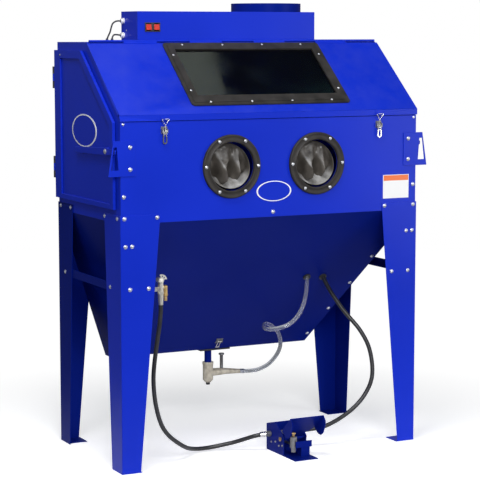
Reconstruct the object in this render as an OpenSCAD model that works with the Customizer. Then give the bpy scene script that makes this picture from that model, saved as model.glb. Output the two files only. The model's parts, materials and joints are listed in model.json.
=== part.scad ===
// Sandblast cabinet on four sheet-metal legs, with a sloped lid, two side doors,
// glove ports, a hopper that leans to the rear and a foot valve on hoses.
// Frame: millimetres, +Z up, X to the operator's right, the front faces -Y.
// The origin is on the floor, at the centre of the four feet.

/* [Cabinet] */
// Width over the legs
body_w = 1220; // [1180:10:1260]
// Depth over the legs
body_d = 610; // [600:2:620]
// Height of the lower edge of the box
floor_z = 897; // [890:1:905]
// Height of the seam between front panel and lid
seam_z = 1257; // [1250:1:1262]
// Height of the fold at the front of the lid
fold_z = 1279; // [1275:1:1283]
// Height of the flat top
top_z = 1530; // [1520:1:1540]
// Thickness of the body sheet
sheet = 3; // [2:0.5:3]

/* [Glove ports] */
// Distance from the middle to each port
port_x = 175; // [165:1:190]
// Height of the port centres
port_z = 1087; // [1080:1:1095]
// Radius of each arm hole
port_r = 88; // [80:1:92]
// Outer radius of the clamping ring
ring_r = 115; // [112:1:118]
// Bolt circle of the clamping ring
ring_pcd = 208; // [204:1:212]

/* [Window] */
// Middle of the window, to the right of the cabinet's middle
window_x = 10; // [0:1:15]
// Width of the window frame
window_w = 652; // [630:2:670]
// Width of the pane that shows
pane_w = 575; // [560:5:580]

/* [Legs] */
// Height of the legs
leg_h = 927; // [920:1:935]
// Width of a leg's front face at the floor
leg_foot_w = 73; // [66:1:80]
// Width of a leg's front face at its top
leg_top_w = 154; // [145:1:158]
// Side of the square foot plate
foot_w = 78; // [70:1:85]
// Radius of the anchor hole in each foot plate
anchor_r = 5.5; // [4:0.5:7]

/* [Hopper] */
// Half width of the trough at the bottom
trough_x = 424; // [400:2:440]
// Front edge of the trough
trough_y = 235; // [225:1:240]
// Height of the trough's floor
trough_z = 318; // [312:1:325]

/* [Top boxes] */
// Height of the light box above the flat top
box_h = 113; // [105:1:118]
// Radius of the extractor drum
drum_r = 135; // [130:1:138]
// Radius of the extractor's outlet
outlet_r = 50; // [40:1:60]

/* [Hoses] */
// Outer radius of the hoses
hose_r = 8; // [7:0.5:9]

/* [Hidden] */
$fn = 48;
eps = 0.01;
side = [-1, 1];

blue = "#1a35b8";
dark_blue = "#101f7a";
steel = "#c9ccd2";
black = "#1b1b1d";
grey = "#5a5a5e";
brass = "#c9a35a";
cast = "#d8d2c0";

hw = body_w / 2;                 // outer face of the legs, side
hd = body_d / 2;                 // outer face of the legs, front and rear
bx = hw - sheet;                 // outer face of the side sheets
by = hd - sheet;                 // outer face of the front and rear sheets
slope = atan2(top_z - fold_z, hd);
slope_len = norm([top_z - fold_z, hd]);
lid_drop = sheet / cos(slope);   // height of the lid sheet, measured straight down
lid_gap = 1.2;                   // gasket gap between the lid and the side frames
run = 0.05;                      // radial running clearance of pins

// Side door outline, in the plane of the side
door_low = 945;
door_front = -262;
door_rear = 303;
door_bend = 1252;
door_top = 1500;
door_top_y = 40;
door_in = hw - 1;                // inner face of the door
door_out = hw + 10;              // outer face of the door
door_hinge = [hw + 7, hd + 8];   // hinge pin, distance from the middle in x and y
door_pin_r = 3;
hinge_z = [1018, 1356];          // lower end of each hinge
hinge_h = 82;

// Glove ports
ring_h = 12;
sleeve_lean = 14;                // how far the sleeves hang down from level

// Latch bar on each door
latch_y = -213;
latch_z = 1149;
latch_pin_r = 4;

// Draw catches of the lid
catch_x = 440;
catch_pin = [-311, 1221];
catch_link = [-311, 1212];
bail_bar = [-316, 1263.5];
wire = 1.5;

// Lid hinge line
lid_pin_z = top_z + 4.5;
lid_pin_r = 1.5;
knuckle_r = 4;
knuckles = 9;
knuckle_len = 1200 / knuckles;

// Window
pane_s = [90, 347];              // pane, distance up the slope
frame_s = [40, 385];
rim = 7;                         // how far the rubber frame stands on the lid

// Top boxes
box_x = [-404, 338];
box_y = [10, 163];
plenum_x = [40, 338];
plenum_y = [164, 290];
drum = [199, 150];
drum_h = 33;
bezel_x = [-375, -313];
bezel_z = [1568, 1602];
rocker_x = [-360, -328];
rocker_half_w = 13;
rocker_half_h = 15;
rocker_pin = [12, 1585];

// Air valve on the front left leg
valve_at = [-450, -290, 664];
valve_stem = [-6, 27];           // its lever's stem, from there in x and z
valve_port = 11.4;               // where its inlet ends, from there in x

// Grate and the blast gun, which lies on it along x
grate_bar = 11;
gun_at = [14, floor_z + 27.3];

// Foot valve
pedal_x = [33, 130];
pedal_y = [-409, -181];
treadle_pin = [-300, 62];
treadle_top = [-412, 161];
treadle_pin_r = 4;
plunger_at = [60, -345];
manifold = [-215, 66];

// Media outlet
outlet_at = [0, 262];
outlet_x = [-46, 84];
outlet_catch = [19, 350];        // place of the catch on the front sheet, x and z
outlet_pivot = [10, 6];          // its pin, up the slope and off the sheet

// Points along the hoses
supply_route = [
    [-450, -290, 600], [-453, -288, 540], [-474, -275, 325], [-432, -250, 153],
    [-330, -200, 57], [-220, -120, 14], [-103, -145, 28], [-30, -198, 58], [14, -215, 66]
];
gun_route = [
    [149, -215, 66], [190, -228, 68], [256, -247, 80], [349, -250, 122], [418, -250, 180],
    [454, -250, 255], [455, -230, 350], [430, -200, 425], [384, -150, 500],
    [356, -100, 567], [347, -50, 623], [344, -8, 675], [341, 18, 740], [335, 27, 808],
    [319, 27, 867], [286, 21, 912], [240, 13, 934], [200, 8, 936], [162, 5, 933]
];
media_route = [
    [141, 262, 212], [186, 262, 209], [224, 251, 215], [256, 228, 238], [276, 195, 281],
    [273, 160, 328], [240, 115, 380], [190, 66, 418], [140, 20, 441], [105, -22, 447],
    [84, -62, 445], [75, -97, 444], [84, -132, 447], [110, -158, 456], [145, -167, 472],
    [180, -161, 500], [212, -141, 535], [245, -103, 580], [274, -53, 627], [286, 0, 682],
    [296, 46, 742], [303, 78, 802], [300, 94, 858], [282, 90, 900], [250, 74, 924],
    [208, 47, 927], [162, 20, 915]
];

function hopper_y(z) = -by + (floor_z - z) * (trough_y + by) / (floor_z - trough_z);
function hopper_x(z) = bx - (floor_z - z) * (bx - trough_x) / (floor_z - trough_z);
hopper_tilt = atan2(trough_y + by, floor_z - trough_z);
grommet_at = [[274, hopper_y(627), 627], [347, hopper_y(623), 623]];

// ---- helpers -------------------------------------------------------------

// A box from its low and high corners
module box(lo, hi) { translate(lo) cube(hi - lo); }

// A plate in the plane x = from, outlined by [y, z] points
module plate_x(from, thick, points) {
    translate([from, 0, 0]) rotate([90, 0, 90]) linear_extrude(thick) polygon(points);
}

// A plate with its front at y = from, outlined by [x, z] points
module plate_y(from, thick, points) {
    translate([0, from + thick, 0]) rotate([90, 0, 0]) linear_extrude(thick) polygon(points);
}

// Round rods along each axis; at holds the other two coordinates
module rod_x(x0, x1, at, r) {
    translate([x0, at[0], at[1]]) rotate([0, 90, 0]) cylinder(h = x1 - x0, r = r);
}
module rod_y(y0, y1, at, r) {
    translate([at[0], y1, at[1]]) rotate([90, 0, 0]) cylinder(h = y1 - y0, r = r);
}
module rod_z(z0, z1, at, r) { translate([at[0], at[1], z0]) cylinder(h = z1 - z0, r = r); }

// A straight rod between two points
module rod(a, b, r) {
    v = b - a;
    translate(a) rotate([0, acos(v[2] / norm(v)), atan2(v[1], v[0])]) cylinder(h = norm(v), r = r);
}

// Puts its children on the lid: x across, y up the slope, z outwards
module on_lid() { translate([0, -hd, fold_z]) rotate([slope, 0, 0]) children(); }

// Puts its children on the hopper's front sheet: y up the slope, z outwards
module on_hopper(x, z) { translate([x, hopper_y(z), z]) rotate([90 + hopper_tilt, 0, 0]) children(); }

// A low domed bolt head standing on z = 0
module bolt_head(r = 7.5) {
    rotate_extrude($fn = 24) polygon([[0, 0], [r, 0], [r, 1.2], [r * 0.72, 3.4], [r * 0.36, 4.4], [0, 4.6]]);
}
module bolt_front(x, z, y = -hd, r = 7.5) { translate([x, y, z]) rotate([90, 0, 0]) bolt_head(r); }
module bolt_side(s, y, z, x = hw, r = 7.5) { translate([s * x, y, z]) rotate([0, s * 90, 0]) bolt_head(r); }

// A smooth curve through a route's points, and the way it heads at each point
function unit(v) = v / norm(v);
function curve(p, i, t) =
    let (a = p[max(i - 1, 0)], b = p[i], c = p[i + 1], d = p[min(i + 2, len(p) - 1)])
    0.5 * (2 * b + (c - a) * t + (2 * a - 5 * b + 4 * c - d) * t * t + (3 * b - a - 3 * c + d) * t * t * t);
function along(p, gap) = concat(
    [for (i = [0 : len(p) - 2])
        let (n = max(1, round(norm(p[i + 1] - p[i]) / gap)))
        for (k = [0 : n - 1]) curve(p, i, k / n)],
    [p[len(p) - 1]]);
function heading(p, i) = unit(p[min(i + 1, len(p) - 1)] - p[max(i - 1, 0)]);
function turned(r, t) = unit(r - (r * t) * t);

// A round tube swept along a route, one ring about every gap millimetres
module hose(route, r, gap, sides = 10) {
    p = along(route, gap);
    n = len(p);
    up = [for (i = 0, u = turned([0.13, 0.29, 0.95], heading(p, 0)); i < n;
        i = i + 1, u = turned(u, heading(p, min(i, n - 1)))) u];
    rings = [for (i = [0 : n - 1], k = [0 : sides - 1])
        let (w = cross(heading(p, i), up[i]), a = 360 * k / sides) p[i] + r * (cos(a) * up[i] + sin(a) * w)];
    walls = [for (i = [0 : n - 2], k = [0 : sides - 1])
        let (a = i * sides, b = a + sides, m = (k + 1) % sides) [a + k, b + k, b + m, a + m]];
    start = [for (k = [0 : sides - 1]) k];
    finish = [for (k = [sides - 1 : -1 : 0]) (n - 1) * sides + k];
    polyhedron(rings, concat(walls, [start, finish]));
}

// ---- body sheets ---------------------------------------------------------

module front_panel() {
    color(blue) difference() {
        union() {
            box([-bx, -by, floor_z], [bx, -by + sheet, seam_z - 2]);
            box([-bx + sheet, -by + sheet, seam_z - 2 - sheet], [bx - sheet, -by + 22, seam_z - 2]);
        }
        for (s = side) rod_y(-by - 1, -by + sheet + 1, [s * port_x, port_z], port_r);
    }
}

module back_panel() { color(blue) box([-bx, by - sheet, floor_z], [bx, by, top_z - sheet]); }

module top_panel() {
    color(blue) difference() {
        box([-bx, 3, top_z - sheet], [bx, by, top_z]);
        box([-370, 45, top_z - sheet - 1], [20, 135, top_z + 1]);
        rod_z(top_z - sheet - 1, top_z + 1, [drum[0], 222], 55);
    }
}

function side_outline() = [
    [-by + sheet, floor_z], [by - sheet, floor_z], [by - sheet, top_z - sheet], [3, top_z - sheet],
    [-2, top_z - lid_drop - lid_gap - 2],
    [-by + sheet, top_z - lid_drop - lid_gap - (by - sheet) * tan(slope)]
];
function inset_door(m) = [
    [door_rear - m, door_low + m], [door_front + m, door_low + m], [door_front + m, door_bend - m * 0.45],
    [door_top_y + m * 0.35, door_top - m], [door_rear - m, door_top - m]
];

module side_frame(s) {
    color(blue) difference() {
        plate_x(s > 0 ? bx - sheet : -bx, sheet, side_outline());
        plate_x(s > 0 ? bx - sheet - 1 : -bx - 1, sheet + 2, inset_door(22));
    }
}
module left_side_frame() { side_frame(-1); }
module right_side_frame() { side_frame(1); }

module hopper_mass(inset, y_shift) {
    intersection() {
        plate_x(-bx, 2 * bx, [
            [-by + y_shift, floor_z], [by - inset, floor_z], [by - 2 - inset, trough_z + inset],
            [trough_y + y_shift, trough_z + inset]
        ]);
        plate_y(-by, 2 * by, [
            [-bx + inset, floor_z], [bx - inset, floor_z],
            [trough_x - inset, trough_z], [-trough_x + inset, trough_z]
        ]);
    }
}
front_run = sheet / cos(hopper_tilt);

module hopper_front() {
    color(dark_blue) difference() {
        hopper_mass(0, 0);
        plate_x(-hw, 2 * hw, [
            [hopper_y(floor_z + 1) + front_run, floor_z + 1], [hd, floor_z + 1], [hd, trough_z - 1],
            [hopper_y(trough_z - 1) + front_run, trough_z - 1]
        ]);
        for (g = grommet_at) on_hopper(g[0], g[2]) translate([0, 0, -20]) cylinder(h = 40, r = 12);
    }
}

module hopper_body() {
    color(dark_blue) difference() {
        hopper_mass(0, front_run);
        hopper_mass(sheet, front_run - eps);
        plate_x(-hw, 2 * hw, [
            [-hd, trough_z + sheet], [trough_y + front_run + 0.5, trough_z + sheet],
            [-by + front_run, floor_z + 1], [-hd, floor_z + 1]
        ]);
        rod_z(trough_z - 1, trough_z + sheet + 1, outlet_at, 11);
    }
}

// ---- legs ----------------------------------------------------------------

module leg(sx, sy) {
    mirror([sx < 0 ? 1 : 0, 0, 0]) mirror([0, sy < 0 ? 1 : 0, 0]) difference() {
        union() {
            plate_y(by, sheet, [[hw, 0], [hw, leg_h], [hw - leg_top_w, leg_h], [hw - leg_foot_w, 0]]);
            plate_x(bx, sheet, [[hd, 0], [hd, leg_h], [hd - 150, leg_h], [hd - 95, 0]]);
            box([hw - foot_w, hd - foot_w, 0], [hw, hd, sheet]);
        }
        rod_z(-1, sheet + 1, [hw - foot_w / 2, hd - foot_w / 2], anchor_r);
    }
}
module front_left_leg() { color(blue) leg(-1, -1); }
module front_right_leg() { color(blue) leg(1, -1); }
module rear_left_leg() { color(dark_blue) leg(-1, 1); }
module rear_right_leg() { color(dark_blue) leg(1, 1); }

module leg_braces() {
    color(dark_blue) for (s = side) mirror([s < 0 ? 1 : 0, 0, 0]) {
        box([bx - 4, -by, 650], [bx, by, 680]);
        box([bx - 26, -by, 650], [bx - 4, by, 654]);
        box([512, -by, 650], [bx - 26, -by + 4, 680]);
    }
}

function leg_bolts_front() = [
    for (s = side) each [[s * 595, 992.5], [s * 595, 916], [s * 469, 916], [s * 591, 817],
        [s * 566, 817], [s * 575, 664], [s * 503, 664]]
];
hopper_bolt_z = [700, 585, 470, 355];

module domed_bolts() {
    color(steel) {
        for (p = leg_bolts_front()) bolt_front(p[0], p[1], p[1] > leg_h ? -by : -hd);
        bolt_front(-5, 915, -by);
        for (s = side) {
            bolt_front(s * 596, 1247, -by, 5);
            for (z = [1089, 1167]) bolt_front(s * 571, z, -hd);
            for (y = [-207, 238]) bolt_side(s, y, 665);
            for (y = [-276, -160, 175, 276]) bolt_side(s, y, 915);
            for (z = hopper_bolt_z) on_hopper(s * (hopper_x(z) - 18), z) bolt_head();
            for (a = [0 : 60 : 300])
                bolt_front(s * port_x + ring_pcd / 2 * cos(a), port_z + ring_pcd / 2 * sin(a),
                    -by - ring_h, 6);
        }
        translate([box_x[0], 113, 1573]) rotate([0, -90, 0]) bolt_head(4);
    }
}

// ---- glove ports ---------------------------------------------------------

module glove_rings() {
    color(black) for (s = side) difference() {
        union() {
            rod_y(-by - ring_h, -by, [s * port_x, port_z], ring_r - 2);
            rod_y(-by - ring_h + 3, -by, [s * port_x, port_z], ring_r);
        }
        rod_y(-by - ring_h - 1, -by + 1, [s * port_x, port_z], port_r);
    }
}

// Outline of a sleeve and its hand, m inside the outer skin
function sleeve(m) = [
    [0, 0], [84 - m, 0], [80 - m, 70], [68 - m, 190], [58 - m, 300], [50 - m, 350],
    [53 - m, 400], [44 - m, 455], [20, 500 - m], [0, 500 - m]
];
module in_port(s) {
    translate([s * port_x, -by + 18, port_z]) rotate([-90 - sleeve_lean, 0, 0]) children();
}
module glove(s) {
    color(grey) difference() {
        union() {
            rod_y(-by + sheet, -by + 24, [s * port_x, port_z], port_r - 2);
            in_port(s) rotate_extrude() polygon(sleeve(0));
        }
        rod_y(-by, -by + 20, [s * port_x, port_z], port_r - 6);
        in_port(s) rotate_extrude() polygon(sleeve(4));
        in_port(s) translate([0, 0, -20]) cylinder(h = 21, r = port_r - 10);
    }
}
module left_glove() { glove(-1); }
module right_glove() { glove(1); }

// Flat bars from side to side, with the cross bars laid on them
module work_grate() {
    half = [bx - sheet - 1, by - sheet - 1];
    color(grey) {
        for (k = [0 : 5]) translate([-half[0], -half[1] + k * (2 * half[1] - grate_bar) / 5, floor_z + 0.3])
            cube([2 * half[0], grate_bar, 3.6]);
        for (i = [0 : 10]) translate([-half[0] + i * (2 * half[0] - grate_bar) / 10, -half[1], floor_z + 4.2])
            cube([grate_bar, 2 * half[1], 3.6]);
    }
}

// ---- latches -------------------------------------------------------------

module latch_brackets() {
    color(blue) for (s = side) mirror([s < 0 ? 1 : 0, 0, 0]) difference() {
        plate_y(-hd, sheet, [[550, 1065], [550, 1190], [634, 1190], [654, 1065]]);
        plate_y(-hd - 1, sheet + 2, [[615, 1087], [621, 1168], [633, 1168], [643, 1087]]);
    }
}

module latch_bar() {
    color(dark_blue) difference() {
        plate_x(door_out + 2, 5, [[79, 1129], [79, 1150], [latch_y, 1163], [-240, 1159],
            [-298, 1158], [-301.2, 1153], [-298, 1143], [-240, 1137], [latch_y, 1135]]);
        rod_x(door_out, door_out + 10, [latch_y, latch_z], latch_pin_r + run);
    }
}
module left_latch_bar() { mirror([1, 0, 0]) latch_bar(); }
module right_latch_bar() { latch_bar(); }

module catch_bases() {
    color(steel) for (s = side) {
        difference() {
            union() {
                box([s * catch_x - 12, -by - 2, 1211], [s * catch_x + 12, -by, 1237]);
                for (e = side) translate([s * catch_x + e * 10 - 1.5, -by - 12, 1214]) cube([3, 10, 14]);
            }
            rod_x(s * catch_x - 13, s * catch_x + 13, catch_pin, 2 + run);
        }
        for (e = side) bolt_front(s * catch_x + e * 7.5, 1232, -by - 2, 3);
    }
    color(steel) on_hopper(outlet_catch[0], outlet_catch[1]) {
        translate([-14, -6, 0]) cube([28, 28, 2]);
        for (e = side) difference() {
            translate([e * 11 - 1.5, outlet_pivot[0] - 5, 2]) cube([3, 10, outlet_pivot[1] + 1]);
            rod_x(e * 11 - 3, e * 11 + 3, outlet_pivot, 2 + run);
        }
    }
}

// Two round legs on the pins, and a stamped plate with a slot for the finger
module catch_lever(s) {
    y = catch_pin[0];
    color(steel) translate([s * catch_x, 0, 0]) {
        for (e = side) {
            rod_x(e > 0 ? 4.8 : -12, e > 0 ? 12 : -4.8, catch_pin, 2);
            rod([e * 6, y, catch_pin[1] + 1.5], [e * 6, y, 1202], 1.9);
        }
        rod_x(-6, 6, catch_link, 1.2);
        difference() {
            union() {
                rod_y(y - 1.5, y + 1.5, [0, 1184], 9);
                plate_y(y - 1.5, 3, [[-9, 1184], [9, 1184], [8, 1205], [-8, 1205]]);
            }
            for (z = [1184, 1199]) rod_y(y - 3, y + 3, [0, z], 4.4);
            box([-4.4, y - 3, 1184], [4.4, y + 3, 1199]);
        }
    }
}
module left_catch_lever() { catch_lever(-1); }
module right_catch_lever() { catch_lever(1); }

module catch_bail(s) {
    color(steel) translate([s * catch_x, 0, 0]) {
        difference() {
            rod_x(-3, 3, catch_link, 3);
            rod_x(-4, 4, catch_link, 1.2 + run);
        }
        rod([0, catch_link[0] - 1, catch_link[1] + 2.2], [0, catch_pin[0] - 1, 1240], wire);
        for (e = side) rod([0, catch_pin[0] - 1, 1239], [e * 14, bail_bar[0], bail_bar[1]], wire);
        rod_x(-15, 15, bail_bar, wire);
    }
}
module left_catch_bail() { catch_bail(-1); }
module right_catch_bail() { catch_bail(1); }

// ---- boxes on the top ----------------------------------------------------

module light_box() {
    z0 = top_z + 0.2;
    z1 = top_z + box_h;
    color(blue) difference() {
        box([box_x[0], box_y[0], z0], [box_x[1], box_y[1], z1]);
        box([box_x[0] + 2, box_y[0] + 2, z0 - 1], [box_x[1] - 2, box_y[1] - 2, z1 - 2]);
        box([rocker_x[0] - rocker_half_w, box_y[0] - 1, rocker_pin[1] - rocker_half_h],
            [rocker_x[1] + rocker_half_w, box_y[0] + 3, rocker_pin[1] + rocker_half_h]);
        for (z = [1555, 1608]) rod_x(box_x[0] - 1, box_x[0] + 3, [140, z], 6);
    }
}

module extractor_drum() {
    z0 = top_z + 0.2;
    z1 = top_z + box_h;
    color(dark_blue) {
        difference() {
            box([plenum_x[0], plenum_y[0], z0], [plenum_x[1], plenum_y[1], z1]);
            box([plenum_x[0] + 2, plenum_y[0] + 2, z0 - 1], [plenum_x[1] - 2, plenum_y[1] - 2, z1 - 2]);
            intersection() {
                rod_z(z1 - 3, z1 + 1, drum, drum_r - 6);
                box([0, plenum_y[0] + 4, z1 - 4], [400, plenum_y[1] - 4, z1 + 2]);
            }
        }
        difference() {
            rod_z(z1, z1 + drum_h, drum, drum_r, $fn = 96);
            rod_z(z1 + 2, z1 + drum_h - 2, drum, drum_r - 2, $fn = 96);
            intersection() {
                rod_z(z1 - 1, z1 + 3, drum, drum_r - 6);
                box([0, plenum_y[0] + 4, z1 - 4], [400, plenum_y[1] - 4, z1 + 5]);
            }
            rod_z(z1 + drum_h - 3, z1 + drum_h + 1, drum, outlet_r);
        }
        difference() {
            rod_z(z1 + drum_h - 22, z1 + drum_h, drum, outlet_r + 2);
            rod_z(z1 + drum_h - 23, z1 + drum_h + 1, drum, outlet_r);
        }
    }
}

module switch_bezel() {
    z = rocker_pin[1];
    color(black) {
        difference() {
            union() {
                box([bezel_x[0], box_y[0] - 3, bezel_z[0]], [bezel_x[1], box_y[0], bezel_z[1]]);
                box([rocker_x[0] - 12.5, box_y[0], z - 14.5], [rocker_x[1] + 12.5, box_y[0] + 26, z + 14.5]);
            }
            for (x = rocker_x) box([x - 11, box_y[0] - 5, z - 13.5], [x + 11, box_y[0] + 22, z + 13.5]);
        }
        for (x = rocker_x) rod_x(x - 11.5, x + 11.5, rocker_pin, 1.45);
    }
}

module rocker(x) {
    y = rocker_pin[0];
    z = rocker_pin[1];
    color("#c8281e") difference() {
        plate_x(x - 10.4, 20.8, [
            [y - 6, z + 10.4], [y - 7.2, z], [y - 9.5, z - 10], [y - 3, z - 9.4],
            [y + 4, z - 5], [y + 4, z + 5], [y - 1, z + 9.6]
        ]);
        rod_x(x - 12, x + 12, rocker_pin, 1.5);
    }
}
module light_switch() { rocker(rocker_x[0]); }
module fan_switch() { rocker(rocker_x[1]); }

module cable_glands() {
    color("white") for (z = [1555, 1608]) difference() {
        union() {
            rod_x(box_x[0] - 5, box_x[0], [140, z], 11);
            rod_x(box_x[0] - 12, box_x[0] - 5, [140, z], 8);
            rod_x(box_x[0] + 2, box_x[0] + 8, [140, z], 8);
            rod_x(box_x[0] - 1, box_x[0] + 3, [140, z], 5.8);
        }
        rod_x(box_x[0] - 13, box_x[0] + 9, [140, z], 3);
    }
}

module switch_leads() {
    x0 = box_x[0] - 12;
    color(black) {
        hose([[x0, 140, 1608], [x0 - 18, 140, 1607], [x0 - 32, 140, 1598], [x0 - 38, 141, 1582],
            [x0 - 42, 143, 1566], [x0 - 50, 147, 1546], [x0 - 52, 148, top_z + 0.3]], 3, 14, 8);
        hose([[x0, 140, 1555], [x0 - 16, 137, 1557], [x0 - 30, 134, 1556], [x0 - 37, 133, 1546],
            [x0 - 38, 133, top_z + 0.3]], 3, 14, 8);
    }
}

module light_tube() {
    color("white") {
        rod_x(-330, 10, [90, 1572], 13);
        for (x = [-338, 10]) box([x, 74, top_z + 22], [x + 8, 106, top_z + 58]);
        box([-338, 76, top_z + 58], [18, 104, top_z + 80]);
        for (x = [-300, -30]) box([x, 84, top_z + 80], [x + 12, 96, top_z + box_h - 2]);
    }
}

// ---- hinges --------------------------------------------------------------

module door_hinge_post(s) {
    hx = door_hinge[0];
    hy = door_hinge[1];
    mirror([s < 0 ? 1 : 0, 0, 0]) for (z = hinge_z) {
        for (k = [0, 2]) {
            difference() {
                rod_z(z + k * hinge_h / 3 + 0.2, z + (k + 1) * hinge_h / 3 - 0.2, [hx, hy], 6);
                rod_z(z, z + hinge_h, [hx, hy], door_pin_r);
            }
            translate([0, 0, z + k * hinge_h / 3 + 0.2]) linear_extrude(hinge_h / 3 - 0.4) polygon([
                [hw - 46, by], [hw - 46, by + 3], [hx - 4, by + 10],
                [hx - 3, hy - 5], [hx - 6, by + 4], [hw - 3, by]
            ]);
        }
        rod_z(z, z + hinge_h, [hx, hy], door_pin_r);
        box([hw - 46, by, z], [hw - 6, by + 3, z + hinge_h]);
    }
}
module door_hinge_posts() { color(black) for (s = side) door_hinge_post(s); }

// Both ends of a knuckle of the lid's hinge, in x
function knuckle_x(k) = [(k - knuckles / 2) * knuckle_len + 0.3, (k + 1 - knuckles / 2) * knuckle_len - 0.3];

module lid_hinge_leaf() {
    half = knuckles * knuckle_len / 2;
    color(dark_blue) {
        box([-half, 3, top_z], [half, 9, top_z + 1.5]);
        for (k = [0 : 2 : knuckles - 1]) let (x = knuckle_x(k)) difference() {
            union() {
                rod_x(x[0], x[1], [0, lid_pin_z], knuckle_r);
                box([x[0], 2, top_z + 0.2], [x[1], 5, top_z + 4]);
            }
            rod_x(-half - 1, half + 1, [0, lid_pin_z], lid_pin_r);
        }
        rod_x(-half, half, [0, lid_pin_z], lid_pin_r);
    }
}

module lid_shell() {
    half = hw - 0.4;
    pane_h = pane_s[1] - pane_s[0];
    color(blue) {
        difference() {
            union() {
                on_lid() translate([-half, 0, -sheet]) cube([2 * half, slope_len - 6, sheet]);
                box([-half, -hd, seam_z], [half, -by, fold_z - 0.6]);
                on_lid() for (x = [-half, half - 2]) translate([x, 12, -14]) cube([2, slope_len - 22, 14]);
            }
            on_lid() translate([window_x - pane_w / 2 - 12, pane_s[0] - 12, -10])
                cube([pane_w + 24, pane_h + 24, 20]);
        }
        for (k = [1 : 2 : knuckles - 2]) let (x = knuckle_x(k)) difference() {
            union() {
                rod_x(x[0], x[1], [0, lid_pin_z], knuckle_r);
                plate_x(x[0], x[1] - x[0], [
                    [-3.8, lid_pin_z - 1], [-1, lid_pin_z - 3.9], [-3.4, top_z - 3.6],
                    [-7.6, top_z - 7.6], [-8.4, top_z - 3.8]
                ]);
            }
            rod_x(-hw, hw, [0, lid_pin_z], lid_pin_r + run);
        }
        for (s = side) box([s * catch_x - 13, -hd - 2, 1258], [s * catch_x + 13, -hd, 1277]);
        for (s = side) box([s * catch_x - 9, -hd - 3, 1258], [s * catch_x + 9, -hd - 2, 1261]);
    }
}

// The rubber frame, with its corners rounded and a thin outer lip
module window_frame() {
    x0 = window_x - window_w / 2;
    y0 = frame_s[0];
    frame_h = frame_s[1] - frame_s[0];
    lip = 14;
    color(black) on_lid() difference() {
        union() {
            translate([x0 + lip, y0, 0]) cube([window_w - 2 * lip, frame_h, rim - 2]);
            translate([x0, y0 + lip, 0]) cube([window_w, frame_h - 2 * lip, rim - 2]);
            for (x = [x0 + lip, x0 + window_w - lip], y = [y0 + lip, y0 + frame_h - lip])
                translate([x, y, 0]) cylinder(h = rim - 2, r = lip);
            translate([x0 + lip, y0 + lip, 0]) cube([window_w - 2 * lip, frame_h - 2 * lip, rim]);
        }
        translate([window_x - pane_w / 2, pane_s[0], -1]) cube([pane_w, pane_s[1] - pane_s[0], rim + 2]);
    }
}

module window_glass() {
    color([0.1, 0.16, 0.18, 0.6]) on_lid() translate([window_x - pane_w / 2 - 10, pane_s[0] - 10, -5.5])
        cube([pane_w + 20, pane_s[1] - pane_s[0] + 20, 5.4]);
}

module window_screws() {
    color(steel) on_lid() {
        for (k = [-1.5 : 1 : 1.5], y = [54, 372]) translate([window_x + k * 166, y, rim]) bolt_head(4.5);
        for (e = side, y = [118, 314]) translate([window_x + e * 305, y, rim]) bolt_head(4.5);
    }
}

// ---- side doors ----------------------------------------------------------

module door() {
    hx = door_hinge[0];
    hy = door_hinge[1];
    color(blue) difference() {
        union() {
            difference() {
                plate_x(door_in, door_out - door_in, inset_door(0));
                plate_x(door_out - 6, 8, [[242, 963], [-232, 963], [-232, 1238], [51, 1470], [242, 1470]]);
            }
            for (z = hinge_z) {
                translate([0, 0, z + hinge_h / 3 + 0.3]) linear_extrude(hinge_h / 3 - 0.6) polygon([
                    [door_in + 2, door_rear - 1], [door_in + 2, door_rear + 2], [hx - 3, hy - 3],
                    [hx + 3, hy - 3], [door_out, door_rear + 2], [door_out, door_rear - 1]
                ]);
                rod_z(z + hinge_h / 3 + 0.3, z + 2 * hinge_h / 3 - 0.3, [hx, hy], 6);
            }
            rod_x(door_out - 8, door_out + 1.8, [latch_y, latch_z], 14);
            rod_x(door_out - 8, door_out + 8, [latch_y, latch_z], latch_pin_r);
            rod_x(door_out + 7.2, door_out + 9, [latch_y, latch_z], 8);
        }
        for (z = hinge_z) rod_z(z, z + hinge_h, [hx, hy], door_pin_r + run);
    }
}
module left_door() { mirror([1, 0, 0]) door(); }
module right_door() { door(); }

// ---- air valve and hoses -------------------------------------------------

module air_valve() {
    x = valve_at[0];
    y = valve_at[1];
    z = valve_at[2];
    stem = [x + valve_stem[0], z + valve_stem[1]];
    color(steel) {
        rod_z(z - 16, z + 22, [x, y], 10);
        translate([x, y, z - 24]) rotate(30) cylinder(h = 8, r = 12, $fn = 6);
        translate([x, y, z - 64]) cylinder(h = 40, r1 = 8, r2 = 10.5);
        rod_y(y - 9, y + 9, stem, 9.5);
        rod_y(y - 13, y - 9, stem, 6);
        rod_x(x, x + valve_port - 0.1, [y, z], 6.5);
        rod_y(y, y + 10, [x, z - 8], 7);
        box([x - 33, y + 9, z - 16], [x + 9, y + 12, z]);
        box([x - 33, -by, z - 16], [x - 30, y + 12, z]);
        box([x - 56, -by, z - 16], [x - 30, -by + 3, z]);
    }
}

// A disc with the arc of a handle round its upper right
module air_valve_lever() {
    at = [valve_at[0] + valve_stem[0], valve_at[1] - 13, valve_at[2] + valve_stem[1]];
    color(steel) translate(at) rotate([90, 0, 0]) {
        translate([0, 0, 0.2]) cylinder(h = 7, r = 10);
        translate([0, 0, 4]) linear_extrude(3) polygon(concat(
            [for (a = [8 : 10 : 108]) 22 * [cos(a), sin(a)]],
            [for (a = [108 : -10 : 8]) 17 * [cos(a), sin(a)]]));
        for (a = [23, 58, 93]) rotate(a) translate([7, -2.5, 4.4]) cube([12, 5, 2]);
    }
}

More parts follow.
